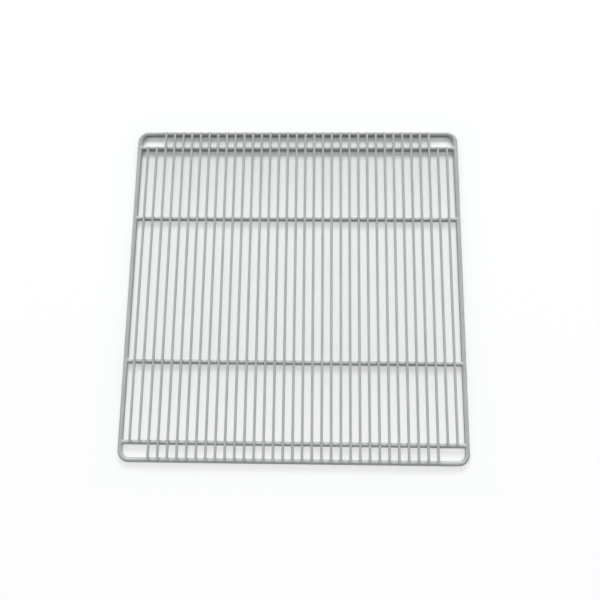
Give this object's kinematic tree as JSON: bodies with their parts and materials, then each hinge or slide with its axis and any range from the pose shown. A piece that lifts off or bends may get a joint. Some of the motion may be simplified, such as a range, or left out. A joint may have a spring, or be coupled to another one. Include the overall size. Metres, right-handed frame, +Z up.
{
  "type": "refrigerator shelf",
  "caption": "Flat coated wire shelf: a round rod frame with rounded corners, cross bars and a grid of thinner wires welded on top, with open corners for the cabinet's uprights.",
  "frame": {"origin": "below the middle of the shelf, at the level of the frame rod's underside", "axes": "+X to the right, +Y from the front to the rear along the wires, +Z up"},
  "size_m": [0.53, 0.538, 0.0115],
  "materials": {
    "grey_coat": "smooth satin light grey plastic coat over welded steel wire"
  },
  "bodies": {
    "root": {"frame_rod": "grey_coat", "front_cross_bar": "grey_coat", "front_middle_cross_bar": "grey_coat", "rear_middle_cross_bar": "grey_coat", "rear_cross_bar": "grey_coat", "wire_01": "grey_coat", "wire_02": "grey_coat", "wire_03": "grey_coat", "wire_04": "grey_coat", "wire_05": "grey_coat", "wire_06": "grey_coat", "wire_07": "grey_coat", "wire_08": "grey_coat", "wire_09": "grey_coat", "wire_10": "grey_coat", "wire_11": "grey_coat", "wire_12": "grey_coat", "wire_13": "grey_coat", "wire_14": "grey_coat", "wire_15": "grey_coat", "wire_16": "grey_coat", "wire_17": "grey_coat", "wire_18": "grey_coat", "wire_19": "grey_coat", "wire_20": "grey_coat", "wire_21": "grey_coat", "wire_22": "grey_coat", "wire_23": "grey_coat", "wire_24": "grey_coat", "wire_25": "grey_coat", "wire_26": "grey_coat", "wire_27": "grey_coat", "wire_28": "grey_coat", "wire_29": "grey_coat", "wire_30": "grey_coat", "wire_31": "grey_coat", "wire_32": "grey_coat", "wire_33": "grey_coat", "wire_34": "grey_coat", "wire_35": "grey_coat"}
  },
  "joints": []
}
